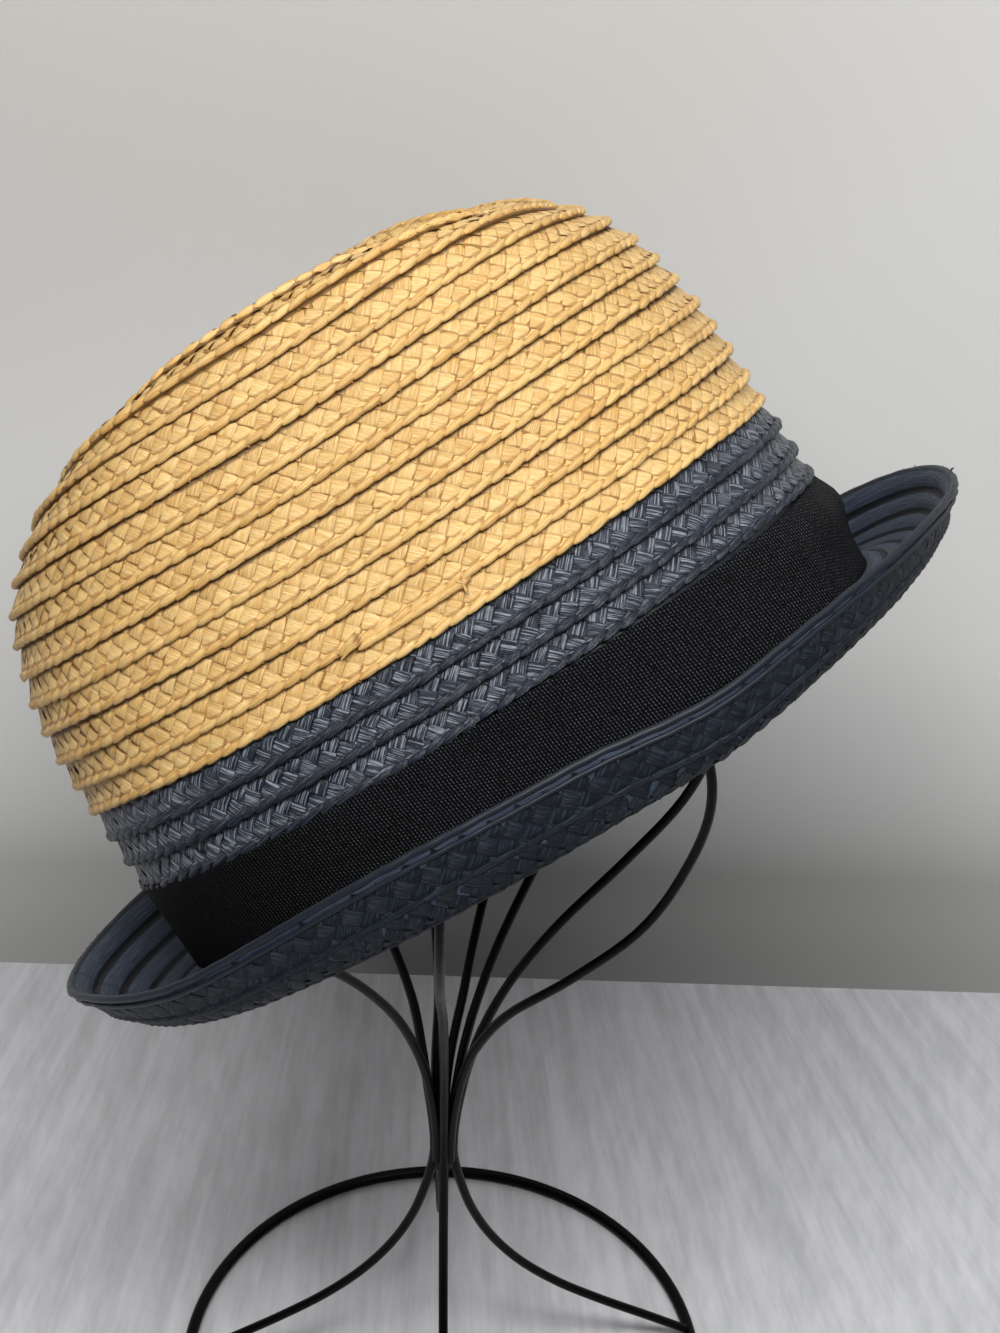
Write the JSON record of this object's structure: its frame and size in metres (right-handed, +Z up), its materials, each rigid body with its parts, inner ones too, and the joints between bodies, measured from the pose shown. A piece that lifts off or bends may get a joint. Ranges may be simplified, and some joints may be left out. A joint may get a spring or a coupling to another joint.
{
  "type": "straw porkpie hat on a wire hat stand",
  "caption": "Sewn straw braid hat with a dented flat crown, dark lower rows, a black grosgrain ribbon and a narrow rolled brim, hung at a slant on a domed wire hat stand",
  "frame": {"origin": "On the surface that the stand's ring stands on, below the middle of the whole part's bounding box", "axes": "+Z up, +X to the viewer's right as the hat is shown, toward its raised end, +Y away from the viewer"},
  "size_m": [0.2355, 0.2264, 0.3895],
  "materials": {
    "tan_straw": "matte",
    "navy_straw": "satin",
    "black_ribbon": "matte",
    "black_wire": "gloss"
  },
  "bodies": {
    "root": {"straw_crown": "tan_straw", "crown_band": "navy_straw", "brim": "navy_straw", "ribbon": "black_ribbon", "stand_base_ring": "black_wire", "stand_stem": "black_wire", "stand_top_cap": "black_wire", "stand_leg_right": "black_wire", "stand_leg_back": "black_wire", "stand_leg_left": "black_wire", "stand_leg_front": "black_wire", "stand_rib_1": "black_wire", "stand_rib_2": "black_wire", "stand_rib_3": "black_wire", "stand_rib_4": "black_wire", "stand_rib_5": "black_wire", "stand_rib_6": "black_wire", "stand_rib_7": "black_wire", "stand_rib_8": "black_wire"}
  },
  "joints": []
}
